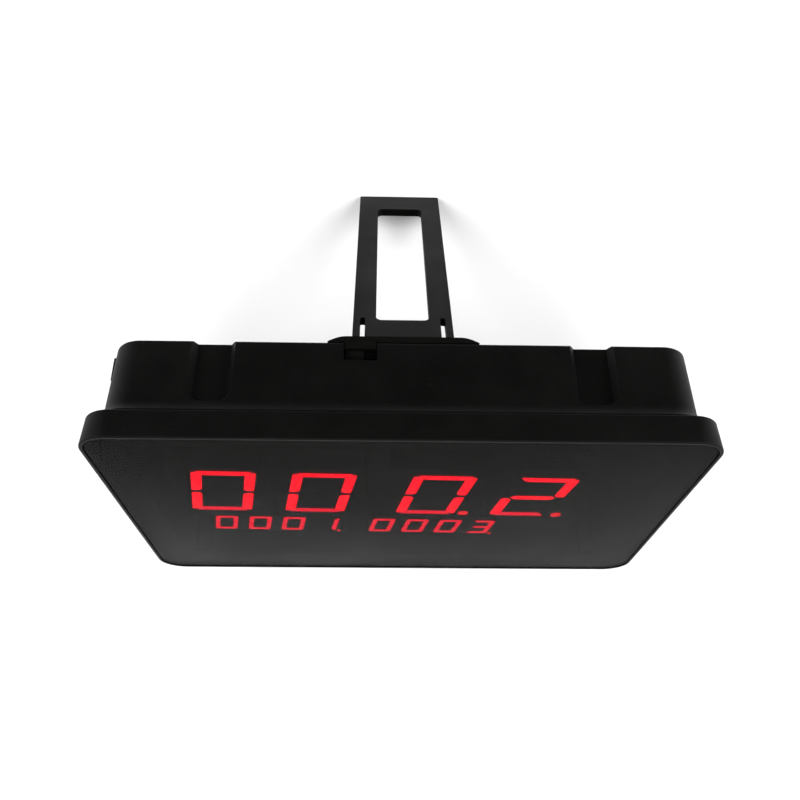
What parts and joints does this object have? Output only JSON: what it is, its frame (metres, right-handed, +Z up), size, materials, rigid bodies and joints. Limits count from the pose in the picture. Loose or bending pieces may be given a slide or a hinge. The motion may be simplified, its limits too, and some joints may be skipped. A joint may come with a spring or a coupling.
{
  "type": "round timer",
  "caption": "Leaning digital round timer: shallow case with a smoked front panel, lit red figures and a folding stand leg.",
  "frame": {"origin": "on the floor, under the middle of the whole timer as it stands leaning back on its open leg", "axes": "+X to the right seen from the front, -Y towards the front, +Z up"},
  "size_m": [0.204, 0.1658, 0.1285],
  "materials": {
    "case_plastic": "fine matte moulded",
    "stand_plastic": "fine matte moulded",
    "smoked_panel": "smoked, satin",
    "digit_module": "matte dark face",
    "lit_segment": "lit from inside",
    "circuit_board": "dark lacquered",
    "chip_resin": "matte moulded",
    "bright_can": "plain",
    "capacitor_sleeve": "shrink sleeve",
    "switch_plastic": "satin moulded",
    "receiver_resin": "clear dark",
    "red_lead": "insulated",
    "black_lead": "insulated",
    "screw_steel": "plated"
  },
  "bodies": {
    "case": {"front_bezel": "case_plastic", "rear_housing": "case_plastic", "display_lens": "smoked_panel", "stand_bracket": "stand_plastic", "main_board": "circuit_board", "controller_chip": "chip_resin", "driver_chip_left": "chip_resin", "driver_chip_right": "chip_resin", "voltage_regulator": "chip_resin", "crystal": "bright_can", "smoothing_capacitor": "capacitor_sleeve", "buzzer": "switch_plastic", "ir_receiver": "receiver_resin", "switch_body": "switch_plastic", "dc_jack": "switch_plastic", "lead_jack_to_switch": "red_lead", "lead_switch_to_board": "red_lead", "lead_jack_to_board": "black_lead", "header_left": "switch_plastic", "header_right": "switch_plastic", "large_digit_1": "digit_module", "case_screw_1": "screw_steel", "board_screw_1": "screw_steel", "large_digit_2": "digit_module", "case_screw_2": "screw_steel", "board_screw_2": "screw_steel", "large_digit_3": "digit_module", "case_screw_3": "screw_steel", "board_screw_3": "screw_steel", "large_digit_4": "digit_module", "case_screw_4": "screw_steel", "board_screw_4": "screw_steel", "small_digits_left": "digit_module", "small_digits_right": "digit_module"},
    "stand": {"stand_leg": "stand_plastic"},
    "rocker": {"switch_rocker": "switch_plastic"}
  },
  "joints": [
    {"name": "stand_hinge", "type": "hinge", "parent": "case", "child": "stand", "pos_m": [0, 0.01267, 0.10062], "axis": [1, 0, 0], "range_deg": [-65, 0]},
    {"name": "switch_tilt", "type": "hinge", "parent": "case", "child": "rocker", "pos_m": [-0.09512, 0.00192, 0.0948], "axis": [0, 0.5085, 0.861], "range_deg": [0, 24]}
  ]
}
